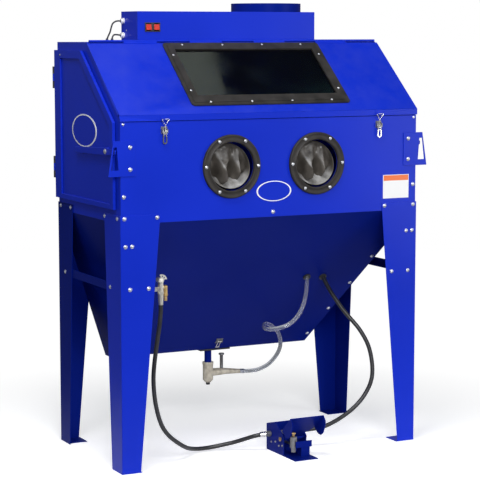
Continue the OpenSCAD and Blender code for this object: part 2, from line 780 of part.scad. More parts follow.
// Elbow on the valve's inlet, with the plug that takes the workshop's air line
module inlet_elbow() {
    x = valve_at[0] + 19;
    y = valve_at[1];
    z = valve_at[2];
    color(brass) {
        rod_x(valve_at[0] + valve_port, x, [y, z], 7.5);
        translate([x, y, z]) sphere(r = 7.5);
        rod_z(z - 24, z, [x, y], 7);
        translate([x, y, z - 32]) rotate(30) cylinder(h = 8, r = 8, $fn = 6);
    }
    color(steel) rod_z(z - 50, z - 32, [x, y], 5.5);
}

module hose_grommets() {
    color(black) for (g = grommet_at) on_hopper(g[0], g[2]) difference() {
        union() {
            translate([0, 0, 0.1]) cylinder(h = 6, r = 15);
            translate([0, 0, -8]) cylinder(h = 9, r = 11.6);
            translate([0, 0, -8]) cylinder(h = 4.6, r = 15);
        }
        translate([0, 0, -12]) cylinder(h = 24, r = hose_r + 0.2);
    }
}

module media_hose() { color([0.85, 0.87, 0.9, 0.5]) hose(media_route, hose_r, 46); }
module supply_hose() { color(black) hose(supply_route, hose_r, 48); }
module gun_hose() { color(black) hose(gun_route, hose_r, 48); }

module blast_gun() {
    color(steel) {
        rod_x(70, 150, gun_at, 19);
        rod_x(50, 70, gun_at, 13);
        rod_x(140, 162, [5, 933], 6);
        rod_x(140, 162, [20, 915], 6);
    }
}
module gun_nozzle() { color("white") rod_x(12, 50, gun_at, 9); }

// ---- blank plates --------------------------------------------------------

// An oval outline with half axes a and b
module oval(a, b) { polygon([for (k = [0 : 59]) [a * cos(6 * k), b * sin(6 * k)]]); }

module blank_plates() {
    color("white") {
        translate([-1.5, -by, 991]) rotate([90, 0, 0]) linear_extrude(1.5) oval(71.5, 37.5);
        box([463, -by - 1, 943], [576, -by, 1032]);
    }
}

// ---- foot valve ----------------------------------------------------------

module pedal_base() {
    color(blue) difference() {
        union() {
            box([pedal_x[0], pedal_y[0], 0], [pedal_x[1], pedal_y[1], 3]);
            for (x = [pedal_x[0], pedal_x[1] - 3])
                plate_x(x, 3, [[-183, 0], [-183, 100], [-262, 112], [-318, 72], [-318, 0]]);
            box([pedal_x[0], -184, 0], [pedal_x[1], -181, 100]);
            box([60, -365, 38], [pedal_x[1] - 3, -362, 62]);
            box([78, -362, 38], [pedal_x[1] - 6, -330, 41]);
            box([84, -362, 3], [pedal_x[1] - 10, -330, 38]);
            for (x = [pedal_x[0] - 3, pedal_x[1] - 3]) rod_x(x, x + 6, treadle_pin, 8);
            rod_x(pedal_x[0] - 4, pedal_x[1] + 4, treadle_pin, treadle_pin_r);
        }
        rod_x(pedal_x[0] - 5, pedal_x[1] + 5, manifold, 8.4);
    }
}

module pedal_valve() {
    x = plunger_at[0];
    color(steel) {
        difference() {
            union() {
                rod_x(14, 149, manifold, 8);
                rod_x(20, 31, manifold, 11);
                rod_x(134, 145, manifold, 11);
                rod([x, manifold[0], manifold[1]], [x, -252, 46], 5);
                rod([x, -250, 46], [x, -340, 46], 5);
                rod_z(38, 78, plunger_at, 13);
                rod_z(20, 38, plunger_at, 9);
            }
            rod_z(46, 90, plunger_at, 4 + run);
        }
        for (p = [[-222, 36], [-255, 43], [-283, 33], [-309, 38]])
            translate([pedal_x[0], p[0], p[1]]) rotate([0, -90, 0]) bolt_head(4.5);
    }
}

treadle_rise = atan2(treadle_top[1] - treadle_pin[1], treadle_pin[0] - treadle_top[0]);
treadle_len = norm(treadle_top - treadle_pin);

// In the treadle's own plane: x across, y towards the toe, z square to the plate
module on_treadle() {
    translate([(pedal_x[0] + pedal_x[1]) / 2, treadle_pin[0], treadle_pin[1]])
        rotate([0, 0, 180]) rotate([treadle_rise, 0, 0]) children();
}

module pedal_treadle() {
    color(dark_blue) difference() {
        union() {
            on_treadle() {
                linear_extrude(3) polygon([
                    [-38, 0], [38, 0], [38, 30], [70, 70],
                    [70, treadle_len], [-70, treadle_len], [-70, 70], [-38, 30]
                ]);
                for (x = [-70, 67]) plate_x(x, 3, [
                    [62, 0], [treadle_len, 0], [treadle_len, -22], [treadle_len - 8, -31],
                    [treadle_len - 30, -41], [104, -47], [84, -44], [70, -30]
                ]);
            }
            rod_x(pedal_x[0] + 10, pedal_x[1] - 10, treadle_pin, 7);
        }
        rod_x(pedal_x[0], pedal_x[1], treadle_pin, treadle_pin_r + run);
    }
}

module pedal_plunger() {
    color(brass) {
        rod_z(60, 92, plunger_at, 4);
        rod_z(89.3, 92, plunger_at, 9);
        rod_z(92, 94, plunger_at, 6.5);
    }
}

// ---- media outlet --------------------------------------------------------

module outlet_plate() {
    color(black) difference() {
        box([outlet_x[0], trough_y - 2, trough_z - 6], [outlet_x[1], by - 4, trough_z - 0.1]);
        rod_z(trough_z - 8, trough_z + 1, outlet_at, 11);
    }
}

module media_pipe() {
    color(dark_blue) difference() {
        union() {
            rod_z(262, trough_z + 4, outlet_at, 10.8);
            rod_z(262, trough_z - 6.1, outlet_at, 14);
        }
        rod_z(260, trough_z + 5, outlet_at, 8);
    }
}

module media_valve() {
    at = outlet_at;
    color(cast) difference() {
        union() {
            rod_z(190, 262, at, 20.5);
            rod_z(252, 262, at, 22);
            translate([at[0], at[1], 180]) cylinder(h = 10, r1 = 12, r2 = 20.5);
            rod_x(at[0], at[0] + 42, [at[1], 218], 15);
            translate([at[0] + 42, at[1], 218]) rotate([0, 90, 0]) cylinder(h = 30, r1 = 15, r2 = 13);
            translate([at[0] + 72, at[1], 218]) rotate([0, 95, 0]) cylinder(h = 69, r1 = 12.6, r2 = 8.6);
        }
        rod_z(240, 263, at, 14);
    }
    color(black) rod_z(171, 180, at, 8);
}

module air_tube() {
    color(steel) {
        rod_z(231, 288, [60, outlet_at[1]], 6.5);
        rod_z(286, 292, [60, outlet_at[1]], 11);
    }
}

// Draw catch that holds the outlet plate, on the hopper's front sheet
module outlet_catch_lever() {
    color(steel) on_hopper(outlet_catch[0], outlet_catch[1])
        translate([0, outlet_pivot[0], outlet_pivot[1]]) {
            rod_x(-13, 13, [0, 0], 2);
            for (e = side) rod([e * 5, 0, 0.3], [e * 6, -34, 1], 1.4);
            rod_x(-8.5, 8.5, [-34, 1], 2);
        }
}

front_panel();
back_panel();
top_panel();
left_side_frame();
right_side_frame();
hopper_front();
hopper_body();
front_left_leg();
front_right_leg();
rear_left_leg();
rear_right_leg();
leg_braces();
domed_bolts();
work_grate();
glove_rings();
left_glove();
right_glove();
latch_brackets();
catch_bases();
light_box();
extractor_drum();
switch_bezel();
cable_glands();
switch_leads();
light_tube();
door_hinge_posts();
lid_hinge_leaf();
air_valve();
inlet_elbow();
hose_grommets();
media_hose();
supply_hose();
gun_hose();
blast_gun();
gun_nozzle();
blank_plates();
pedal_base();
pedal_valve();
media_pipe();
media_valve();
air_tube();
light_switch();
fan_switch();
lid_shell();
window_frame();
window_glass();
window_screws();
left_door();
right_door();
left_latch_bar();
right_latch_bar();
left_catch_lever();
right_catch_lever();
left_catch_bail();
right_catch_bail();
outlet_plate();
outlet_catch_lever();
air_valve_lever();
pedal_treadle();
pedal_plunger();
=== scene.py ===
# %% [markdown]
# # A sandblast cabinet around its fixed frame
# The cabinet's sheets, joints and hoses come in as a fixed frame, and nothing of it is moved here.
# The finished model has to stay inside it.

# %% The frame and its box
import json
import math

import bmesh
import bpy
from mathutils import Matrix, Vector, noise

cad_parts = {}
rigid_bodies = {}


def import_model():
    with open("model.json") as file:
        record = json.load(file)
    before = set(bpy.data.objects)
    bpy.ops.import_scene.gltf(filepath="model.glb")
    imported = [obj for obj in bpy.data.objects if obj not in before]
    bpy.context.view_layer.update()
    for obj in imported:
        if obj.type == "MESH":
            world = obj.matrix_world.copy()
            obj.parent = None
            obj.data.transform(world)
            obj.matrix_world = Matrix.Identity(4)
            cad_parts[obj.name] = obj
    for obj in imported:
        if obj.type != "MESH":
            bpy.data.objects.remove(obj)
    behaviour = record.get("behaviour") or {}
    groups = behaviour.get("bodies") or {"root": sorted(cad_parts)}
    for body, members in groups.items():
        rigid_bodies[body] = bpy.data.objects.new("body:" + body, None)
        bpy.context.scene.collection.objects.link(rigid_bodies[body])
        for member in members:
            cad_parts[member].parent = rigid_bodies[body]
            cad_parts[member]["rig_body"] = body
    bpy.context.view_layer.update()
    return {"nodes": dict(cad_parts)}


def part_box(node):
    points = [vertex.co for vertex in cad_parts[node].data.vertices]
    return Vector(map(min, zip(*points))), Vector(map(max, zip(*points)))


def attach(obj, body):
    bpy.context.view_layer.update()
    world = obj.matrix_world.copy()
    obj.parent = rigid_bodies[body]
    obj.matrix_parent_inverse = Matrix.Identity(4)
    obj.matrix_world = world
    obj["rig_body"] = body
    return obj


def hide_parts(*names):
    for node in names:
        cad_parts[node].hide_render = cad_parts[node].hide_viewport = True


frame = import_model()
MM = 0.001

# %% [markdown]
# ## Camera
# A long lens from the left and a little above keeps the cabinet's upright edges almost parallel.
# A wide lens close by would show the same sides, but it would swell the nearest leg.

# %% Camera
turn, tilt = math.radians(-26.67), math.radians(6.81)
looking = Vector((-math.sin(turn) * math.cos(tilt), math.cos(turn) * math.cos(tilt), -math.sin(tilt)))
camera = bpy.data.objects.new("camera", bpy.data.cameras.new("camera"))
camera.location = (-2.9686, -5.9334, 1.5706)
camera.rotation_euler = looking.to_track_quat("-Z", "Y").to_euler()
camera.data.lens = 131.23
camera.data.sensor_width = 36
camera.data.clip_end = 60
bpy.context.scene.collection.objects.link(camera)
bpy.context.scene.camera = camera
print("camera looks along", [round(v, 3) for v in looking])


# %% [markdown]
# ## Helpers for meshes
# Every piece starts as a bmesh, ends as an object at the origin, and rides on one body of the frame.
# A weighted-normal modifier keeps flat sheets flat under smooth shading, so only the rounded edges turn
# the light.

# %% Finishing a piece
def piece(bm, name, body, finish, stands_for=(), sharp=40, weighted=True):
    mesh = bpy.data.meshes.new(name)
    bm.to_mesh(mesh)
    bm.free()
    return clad(mesh, name, body, finish, stands_for, sharp, weighted)


def clad(mesh, name, body, finish, stands_for=(), sharp=40, weighted=True):
    mesh.shade_smooth()
    mesh.set_sharp_from_angle(angle=math.radians(sharp))
    for one in finish if isinstance(finish, list) else [finish]:
        mesh.materials.append(one)
    item = bpy.data.objects.new(name, mesh)
    bpy.context.scene.collection.objects.link(item)
    if weighted:
        item.modifiers.new("flat_sheets", "WEIGHTED_NORMAL").keep_sharp = True
    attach(item, body)
    if stands_for:
        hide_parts(*stands_for)
    return item


# %% Basic shapes
def slab(bm, low, high):
    made = bmesh.ops.create_cube(bm, size=1)["verts"]
    size = [high[i] - low[i] for i in range(3)]
    middle = [(high[i] + low[i]) / 2 for i in range(3)]
    bmesh.ops.scale(bm, verts=made, vec=size)
    bmesh.ops.translate(bm, verts=made, vec=middle)
    return made


def scaled(outline, by=MM):
    return [(r * by, h * by) for r, h in outline]


def turned(bm, outline, place=Matrix(), steps=32):
    """Spins (radius, height) points about Z into a closed shape, and moves it to its place."""
    points = [bm.verts.new((r, 0, h)) for r, h in outline]
    edges = [bm.edges.new(pair) for pair in zip(points, points[1:])]
    made = bmesh.ops.spin(bm, geom=points + edges, cent=(0, 0, 0), axis=(0, 0, 1),
                          angle=math.tau, steps=steps, use_merge=True)["geom_last"]
    verts = island(made[0] if made else points[0])
    bmesh.ops.remove_doubles(bm, verts=verts, dist=1e-6)
    verts = [v for v in verts if v.is_valid]
    bmesh.ops.recalc_face_normals(bm, faces=list({f for v in verts for f in v.link_faces}))
    bmesh.ops.transform(bm, matrix=place, verts=verts)
    return verts


def island(start):
    seed = start if isinstance(start, bmesh.types.BMVert) else start.verts[0]
    found, waiting = {seed}, [seed]
    while waiting:
        for edge in waiting.pop().link_edges:
            for v in edge.verts:
                if v not in found:
                    found.add(v)
                    waiting.append(v)
    return list(found)


def facing(at, direction):
    """A place whose Z axis looks along a direction."""
    return Matrix.Translation(at) @ Vector(direction).to_track_quat("Z", "Y").to_matrix().to_4x4()


def rounded(bm, width, segments=2, angle=30, shortest=2.0):
    """Bevels every edge that is sharper than the angle."""
    sharp = [e for e in bm.edges if len(e.link_faces) == 2 and e.calc_face_angle(0) > math.radians(angle)
             and e.calc_length() > shortest * width]
    bmesh.ops.bevel(bm, geom=sharp, offset=width, offset_type="OFFSET", affect="EDGES", segments=segments,
                    profile=0.5, material=-1, clamp_overlap=True)


# %% Softened copies of frame nodes
def merged(node):
    """A frame node's mesh as a closed bmesh with whole faces in place of loose triangles."""
    bm = bmesh.new()
    bm.from_mesh(frame["nodes"][node].data)
    bmesh.ops.remove_doubles(bm, verts=bm.verts, dist=1e-5)
    bmesh.ops.dissolve_limit(bm, angle_limit=math.radians(0.8), verts=bm.verts, edges=bm.edges,
                             delimit={"NORMAL"})
    return bm


def body_of(node):
    return frame["nodes"][node]["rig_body"]


def softened(node, name, finish, width=1.0, segments=2, angle=30, sharp=40):
    bm = merged(node)
    rounded(bm, width * MM, segments, angle)
    made = piece(bm, name, body_of(node), finish, [node], sharp)
    print(f"{name}: {len(made.data.polygons)} faces")
    return made


# %% [markdown]
# ## Routes of the hoses
# Each hose follows listed points on one smooth curve. The curve passes through every point, so a
# fitting at either end stays in line with it.

# %% Smooth curve through points
def smooth_route(points, gap=0.006):
    knots = [Vector(p) * MM for p in points]
    route = []
    for i in range(len(knots) - 1):
        a, b = knots[max(i - 1, 0)], knots[i]
        c, d = knots[i + 1], knots[min(i + 2, len(knots) - 1)]
        steps = max(2, round((c - b).length / gap))
        for k in range(steps):
            t = k / steps
            route.append(0.5 * (2 * b + (c - a) * t + (2 * a - 5 * b + 4 * c - d) * t ** 2
                                + (3 * b - a - 3 * c + d) * t ** 3))
    return route + [knots[-1]]


def run_length(route):
    return sum((b - a).length for a, b in zip(route, route[1:]))


def wire(name, route, radius, closed=False, sides=4):
    """A round wire or tube along a route, as a curve."""
    line = bpy.data.curves.new(name, "CURVE")
    line.dimensions = "3D"
    line.bevel_depth = radius
    line.bevel_resolution = sides
    line.use_fill_caps = True
    spline = line.splines.new("POLY")
    spline.points.add(len(route) - 1)
    for point, at in zip(spline.points, route):
        point.co = (*at, 1)
    spline.use_cyclic_u = closed
    item = bpy.data.objects.new(name, line)
    bpy.context.scene.collection.objects.link(item)
    return item


def wire_mesh(name, routes, radius, closed=False, sides=4):
    """Wires along several routes as one mesh."""
    bm = bmesh.new()
    for route in routes:
        item = wire(name + "_line", route, radius, closed, sides)
        mesh = bpy.data.meshes.new_from_object(item)
        bm.from_mesh(mesh)
        bpy.data.objects.remove(item)
        bpy.data.meshes.remove(mesh)
    bmesh.ops.remove_doubles(bm, verts=bm.verts, dist=1e-6)
    return bm


# %% [markdown]
# ## Shared shader groups
# Powder coat, dust and brushed metal are used on many pieces. Each is a node group with its own inputs,
# so one change reaches every material, while each material keeps its own values.

# %% Making node groups
def group(name, inputs, outputs):
    tree = bpy.data.node_groups.new(name, "ShaderNodeTree")
    kinds = {"colour": "NodeSocketColor", "value": "NodeSocketFloat"}
    for title, kind, start in inputs:
        tree.interface.new_socket(name=title, in_out="INPUT", socket_type=kinds[kind]).default_value = start
    for title, kind in outputs:
        tree.interface.new_socket(name=title, in_out="OUTPUT", socket_type=kinds[kind])
    return tree, tree.nodes.new("NodeGroupInput"), tree.nodes.new("NodeGroupOutput")


def node(tree, kind, **sockets):
    """A shader node. A socket is given a value, or another node's socket to read."""
    made = tree.nodes.new("ShaderNode" + kind)
    for title, value in sockets.items():
        if hasattr(made, title):
            setattr(made, title, value)
            continue
        put(tree, made.inputs[title.replace("_", " ")], value)
    return made


def put(tree, socket, value):
    if isinstance(value, bpy.types.NodeSocket):
        tree.links.new(value, socket)
    else:
        socket.default_value = value


def here(tree, scale=(1, 1, 1)):
    place = node(tree, "TexCoord")
    return node(tree, "Mapping", Vector=place.outputs["Object"], Scale=scale).outputs["Vector"]


def times(tree, a, b):
    made = node(tree, "Math", operation="MULTIPLY")
    put(tree, made.inputs[0], a)
    put(tree, made.inputs[1], b)
    return made.outputs[0]


def plus(tree, a, b):
    made = node(tree, "Math", operation="ADD")
    put(tree, made.inputs[0], a)
    put(tree, made.inputs[1], b)
    return made.outputs[0]


def blend_colours(tree, factor, a, b):
    made = node(tree, "Mix", data_type="RGBA")
    put(tree, made.inputs[0], factor)
    put(tree, made.inputs[6], a)
    put(tree, made.inputs[7], b)
    return made.outputs[2]


def ramp(tree, value, low, high, to_low=0.0, to_high=1.0):
    made = node(tree, "MapRange")
    put(tree, made.inputs[0], value)
    for i, number in enumerate((low, high, to_low, to_high), 1):
        put(tree, made.inputs[i], number)
    return made.outputs[0]


# %% [markdown]
# Powder coat melts into a skin with a fine orange peel, and thin sheet is never quite flat. Both are
# heights for a Bump node: the peel is a few millimetres across, the waves a few hundred.

# %% Powder coat, dust and brushed metal
def make_peel():
    tree, given, out = group("powder_peel", [("Peel", "value", 0.3), ("Waves", "value", 1.0)],
                             [("Height", "value")])
    at = here(tree)
    fine = node(tree, "TexNoise", Vector=at, Scale=420.0, Detail=2.0)
    waves = node(tree, "TexNoise", Vector=at, Scale=5.0, Detail=1.0)
    total = plus(tree, times(tree, fine.outputs["Fac"], given.outputs["Peel"]),
                 times(tree, waves.outputs["Fac"], given.outputs["Waves"]))
    tree.links.new(total, out.inputs["Height"])
    return tree


def make_dust():
    tree, given, out = group(
        "dust_and_scuffs",
        [("Color", "colour", (1, 1, 1, 1)), ("Dust", "value", 0.1), ("Roughness", "value", 0.3),
         ("Scuffs", "value", 0.1)],
        [("Color", "colour"), ("Roughness", "value")])
    at = here(tree)
    up = node(tree, "SeparateXYZ", Vector=node(tree, "NewGeometry").outputs["Normal"]).outputs["Z"]
    cloud = node(tree, "TexNoise", Vector=at, Scale=14.0, Detail=6.0, Roughness=0.65).outputs["Fac"]
    lying = times(tree, ramp(tree, up, 0.2, 0.95), ramp(tree, cloud, 0.35, 0.75))
    amount = times(tree, lying, given.outputs["Dust"])
    scratch = node(tree, "TexNoise", Vector=here(tree, (30, 30, 300)), Scale=1.5, Detail=4.0).outputs["Fac"]
    rub = times(tree, ramp(tree, scratch, 0.62, 0.75), given.outputs["Scuffs"])
    colour = blend_colours(tree, amount, given.outputs["Color"], (0.46, 0.46, 0.46, 1))
    tree.links.new(colour, out.inputs["Color"])
    rough = plus(tree, given.outputs["Roughness"], plus(tree, rub, times(tree, amount, 0.4)))
    tree.links.new(rough, out.inputs["Roughness"])
    return tree


def make_grain():
    tree, given, out = group(
        "metal_grain",
        [("Color", "colour", (1, 1, 1, 1)), ("Roughness", "value", 0.3), ("Spread", "value", 0.15),
         ("Tarnish", "value", 0.2)],
        [("Color", "colour"), ("Roughness", "value"), ("Height", "value")])
    lines = node(tree, "TexNoise", Vector=here(tree, (40, 40, 900)), Scale=1.0, Detail=3.0).outputs["Fac"]
    spots = node(tree, "TexNoise", Vector=here(tree), Scale=90.0, Detail=5.0).outputs["Fac"]
    dull = times(tree, ramp(tree, spots, 0.45, 0.7), given.outputs["Tarnish"])
    dark = blend_colours(tree, 0.55, given.outputs["Color"], (0.03, 0.03, 0.035, 1))
    tree.links.new(blend_colours(tree, dull, given.outputs["Color"], dark), out.inputs["Color"])
    spread = times(tree, lines, given.outputs["Spread"])
    tree.links.new(plus(tree, plus(tree, spread, given.outputs["Roughness"]), times(tree, dull, 0.4)),
                   out.inputs["Roughness"])
    tree.links.new(lines, out.inputs["Height"])
    return tree


peel, dust, grain = make_peel(), make_dust(), make_grain()
print("shader groups:", peel.name, dust.name, grain.name)


# %% Putting a material together
def material(name, colour, roughness=0.4, metallic=0.0, **sockets):
    """A material with a Principled shader. Constant values are set on the shader itself."""
    made = bpy.data.materials.new(name)
    made.use_nodes = True
    shader = made.node_tree.nodes["Principled BSDF"]
    shader.inputs["Base Color"].default_value = (*colour, 1)
    shader.inputs["Roughness"].default_value = roughness
    shader.inputs["Metallic"].default_value = metallic
    for title, value in sockets.items():
        shader.inputs[title.replace("_", " ")].default_value = value
    made.diffuse_color = (*colour, 1)
    return made, made.node_tree, shader


def use(tree, kind, **values):
    made = tree.nodes.new("ShaderNodeGroup")
    made.node_tree = kind
    for title, value in values.items():
        put(tree, made.inputs[title], value)
    return made


def bumped(tree, shader, height, distance, strength=1.0):
    made = node(tree, "Bump", Height=height, Distance=distance, Strength=strength)
    tree.links.new(made.outputs["Normal"], shader.inputs["Normal"])


# %% [markdown]
# ## Powder coat
# The cabinet is sprayed a deep royal blue and baked. The pigment is matt underneath and the skin is a
# clear gloss, so a coat layer carries the reflection, and the peel breaks it up a little.

# %% Blue powder coat, and a darker copy of it with painted shade
def powder(name, colour, dusty, tint, gloss=0.2, roughness=0.38, coat=0.12):
    made, tree, shader = material(name, colour, roughness, Coat_Weight=coat, Coat_Roughness=0.2,
                                  Specular_IOR_Level=gloss, Specular_Tint=(*tint, 1), Coat_Tint=(*tint, 1))
    drift = node(tree, "TexNoise", Vector=here(tree), Scale=2.2, Detail=2.0).outputs["Fac"]
    lighter = tuple(min(1, c * 1.16 + 0.002) for c in colour) + (1,)
    shade = blend_colours(tree, ramp(tree, drift, 0.3, 0.7), (*colour, 1), lighter)
    worn = use(tree, dust, Color=shade, Dust=dusty, Roughness=roughness, Scuffs=0.12)
    tree.links.new(worn.outputs["Color"], shader.inputs["Base Color"])
    tree.links.new(worn.outputs["Roughness"], shader.inputs["Roughness"])
    bumped(tree, shader, use(tree, peel, Peel=0.012, Waves=1.0).outputs["Height"], 0.004, 0.35)
    return made


blue = powder("blue_coat", (0.003, 0.022, 0.46), 0.04, (0.5, 0.6, 1.0))
# The second coat is the same blue darkened, with less gloss and coat: painted shade for the parts that stand
# in shadow.
painted_shade_blue = powder("dark_blue_coat", (0.001, 0.009, 0.17), 0.004, (0.2, 0.35, 1.0), gloss=0.05, coat=0.02)


# %% [markdown]
# ## Metals
# Zinc bolts, chrome catches, galvanised grate, brass fittings and a bead-blasted casting differ in
# colour, in how rough they are and in how far they have tarnished, so they share the grain group.

# %% Metals
def metal(name, colour, roughness, spread, tarnish, bump=0.0002):
    made, tree, shader = material(name, colour, roughness, 1.0)
    skin = use(tree, grain, Color=(*colour, 1), Roughness=roughness, Spread=spread, Tarnish=tarnish)
    tree.links.new(skin.outputs["Color"], shader.inputs["Base Color"])
    tree.links.new(skin.outputs["Roughness"], shader.inputs["Roughness"])
    bumped(tree, shader, skin.outputs["Height"], bump, 0.3)
    return made


zinc = metal("zinc", (0.74, 0.76, 0.80), 0.26, 0.12, 0.3)
chrome = metal("chrome", (0.82, 0.81, 0.79), 0.12, 0.08, 0.2, 0.0001)
nickel = metal("nickel", (0.86, 0.83, 0.76), 0.36, 0.1, 0.35, 0.0001)
dull_steel = metal("dull_steel", (0.30, 0.30, 0.31), 0.4, 0.2, 0.5)
galvanised = metal("galvanised", (0.52, 0.53, 0.55), 0.42, 0.2, 0.6)
brass = metal("brass", (0.86, 0.60, 0.26), 0.3, 0.12, 0.4)


def cast():
    made, tree, shader = material("cast_aluminium", (0.62, 0.56, 0.44), 0.34, 0.35)
    sand = node(tree, "TexNoise", Vector=here(tree), Scale=700.0, Detail=3.0).outputs["Fac"]
    stain = node(tree, "TexNoise", Vector=here(tree), Scale=45.0, Detail=5.0).outputs["Fac"]
    colour = blend_colours(tree, ramp(tree, stain, 0.42, 0.72), (0.72, 0.66, 0.53, 1), (0.42, 0.37, 0.28, 1))
    tree.links.new(colour, shader.inputs["Base Color"])
    tree.links.new(ramp(tree, stain, 0.3, 0.7, 0.28, 0.46), shader.inputs["Roughness"])
    bumped(tree, shader, sand, 0.0006, 0.5)
    return made


cast_aluminium = cast()


# %% [markdown]
# ## Rubber and plastic
# Rubber is dark and rough with a fine mottle. Moulded plastic is smoother. The glove rubber is lighter,
# and whatever part of its folds faces up turns pale grey: partly dust, partly a painted highlight where
# light falls.

# %% Rubbers and plastics
def mottled(name, colour, roughness, grain_scale=500.0, depth=0.0004, lift=1.5, **sockets):
    made, tree, shader = material(name, colour, roughness, **sockets)
    fine = node(tree, "TexNoise", Vector=here(tree), Scale=grain_scale, Detail=3.0).outputs["Fac"]
    broad = node(tree, "TexNoise", Vector=here(tree), Scale=24.0, Detail=4.0).outputs["Fac"]
    lighter = tuple(min(1, c * lift + 0.004) for c in colour) + (1,)
    tree.links.new(blend_colours(tree, ramp(tree, broad, 0.3, 0.75), (*colour, 1), lighter),
                   shader.inputs["Base Color"])
    tree.links.new(ramp(tree, broad, 0.3, 0.7, roughness - 0.05, roughness + 0.08),
                   shader.inputs["Roughness"])
    bumped(tree, shader, fine, depth, 0.4)
    return made


def dust_and_highlight(made, amount):
    """Lays the dust group over the colour and the roughness that a material already has. Laid thick, it
    pales every upward face: dust, and a painted highlight.
    """
    tree = made.node_tree
    worn = use(tree, dust, Dust=amount, Scuffs=0.1)
    for title in ("Base Color", "Roughness"):
        under = tree.nodes["Principled BSDF"].inputs[title]
        tree.links.new(under.links[0].from_socket, worn.inputs[title.replace("Base ", "")])
        tree.links.new(worn.outputs[title.replace("Base ", "")], under)
    return made


ring_black = mottled("ring_black", (0.016, 0.014, 0.013), 0.5, 350.0, 0.0008, 2.2, Specular_IOR_Level=0.3)
black_rubber = mottled("black_rubber", (0.022, 0.022, 0.024), 0.5)
frame_rubber = mottled("frame_rubber", (0.018, 0.016, 0.015), 0.5, 300.0, 0.0006, 2.0,
                       Specular_IOR_Level=0.35)
hose_rubber = mottled("black_hose", (0.016, 0.016, 0.018), 0.34, 900.0, 0.0002)
black_steel = mottled("black_steel", (0.020, 0.020, 0.023), 0.35, 380.0, 0.0002)
# The glove's heavy dust layer pales the upward faces of the folds and the shelf behind the ring: partly
# dust, partly a painted highlight.
glove_rubber = dust_and_highlight(mottled("glove_rubber", (0.052, 0.046, 0.040), 0.33, 260.0, 0.0012, 2.2), 1.6)
white_plastic = mottled("white_plastic", (0.80, 0.80, 0.78), 0.3, 600.0, 0.0001, 1.05)
ceramic = mottled("ceramic", (0.74, 0.71, 0.64), 0.25, 800.0, 0.0001, 1.1)
label_white = mottled("label_white", (0.84, 0.84, 0.84), 0.35, 900.0, 0.00005, 1.02)
label_orange = mottled("label_orange", (0.80, 0.16, 0.03), 0.35, 900.0, 0.00005, 1.05)


# %% [markdown]
# The rockers are moulded in red plastic with a lamp behind, so they glow a little. The pane is dark
# tinted glass, and the media hose is clear vinyl that has turned slightly milky.

# %% Glass, vinyl and lit plastic
def lit_red():
    made, tree, shader = material("switch_red", (0.42, 0.02, 0.015), 0.22, Emission_Strength=0.16)
    haze = node(tree, "TexNoise", Vector=here(tree), Scale=160.0, Detail=2.0).outputs["Fac"]
    glow = blend_colours(tree, haze, (0.34, 0.014, 0.012, 1), (0.62, 0.06, 0.04, 1))
    tree.links.new(glow, shader.inputs["Emission Color"])
    tree.links.new(glow, shader.inputs["Base Color"])
    return made


def pane_glass():
    made, tree, shader = material("window_pane", (0.10, 0.17, 0.19), 0.05,
                                  Transmission_Weight=1.0, IOR=1.45)
    film = node(tree, "TexNoise", Vector=here(tree), Scale=9.0, Detail=6.0).outputs["Fac"]
    tree.links.new(ramp(tree, film, 0.3, 0.8, 0.03, 0.16), shader.inputs["Roughness"])
    bumped(tree, shader, node(tree, "TexNoise", Vector=here(tree), Scale=3.0).outputs["Fac"], 0.001, 0.2)
    return made


def clear_vinyl():
    made, tree, shader = material("clear_hose", (0.90, 0.92, 0.95), 0.08, Transmission_Weight=0.86, IOR=1.4)
    milk = node(tree, "TexNoise", Vector=here(tree), Scale=60.0, Detail=4.0).outputs["Fac"]
    tree.links.new(blend_colours(tree, milk, (0.72, 0.76, 0.82, 1), (0.95, 0.96, 0.98, 1)),
                   shader.inputs["Base Color"])
    tree.links.new(ramp(tree, milk, 0.3, 0.7, 0.05, 0.16), shader.inputs["Roughness"])
    return made


switch_red, window_pane, clear_hose = lit_red(), pane_glass(), clear_vinyl()
print("materials:", len(bpy.data.materials))


# %% [markdown]
# ## Hoses
# The cords come before the other pieces, because they decide how far the object spreads. The supply hose
# runs from the air valve down to the foot valve and the gun hose from there up to the gun: both are stiff
# black rubber, 16 mm across, so their bends stay wide. The media hose is clear vinyl with the same width.

# %% Routes
HOSE = 0.016
supply_route = [
    (-450, -290, 600), (-453, -288, 540), (-474, -275, 325), (-432, -250, 153),
    (-330, -200, 57), (-220, -120, 14), (-103, -145, 28), (-30, -198, 58), (14, -215, 66),
]
gun_route = [
    (149, -215, 66), (190, -228, 68), (256, -247, 80), (349, -250, 122), (418, -250, 180),
    (454, -250, 255), (455, -230, 350), (430, -200, 425), (384, -150, 500),
    (356, -100, 567), (347, -50, 623), (344, -8, 675), (341, 18, 740), (335, 27, 808),
    (319, 27, 867), (286, 21, 912), (240, 13, 934), (200, 8, 936), (162, 5, 933),
]
media_route = [
    (141, 262, 212), (186, 262, 209), (224, 251, 215), (256, 228, 238), (276, 195, 281),
    (273, 160, 328), (240, 115, 380), (190, 66, 418), (140, 20, 441), (105, -22, 447),
    (84, -62, 445), (75, -97, 444), (84, -132, 447), (110, -158, 456), (145, -167, 472),
    (180, -161, 500), (212, -141, 535), (245, -103, 580), (274, -53, 627), (286, 0, 682),
    (296, 46, 742), (303, 78, 802), (300, 94, 858), (282, 90, 900), (250, 74, 924),
    (208, 47, 927), (162, 20, 915),
]


# %% Hoses with their collars
def collar(name, ends, finish, radius=10.6, length=24):
    """Crimped collars on hose ends. Each end is a point and the way that the hose leaves it."""
    outline = [(0, 0), (radius - 1.4, 0), (radius, 1.4), (radius, 5), (radius - 1, 6), (radius - 1, 9),
               (radius, 10), (radius, 14), (radius - 1, 15), (radius - 1, 18), (radius, 19),
               (radius, length - 1.2), (radius - 1.2, length), (0, length)]
    bm = bmesh.new()
    for at, along in ends:
        turned(bm, scaled(outline), facing(at, along), 24)
    return piece(bm, name, "cabinet", finish)


def ends_of(route):
    return [(route[0], route[2] - route[0]), (route[-1], route[-3] - route[-1])]


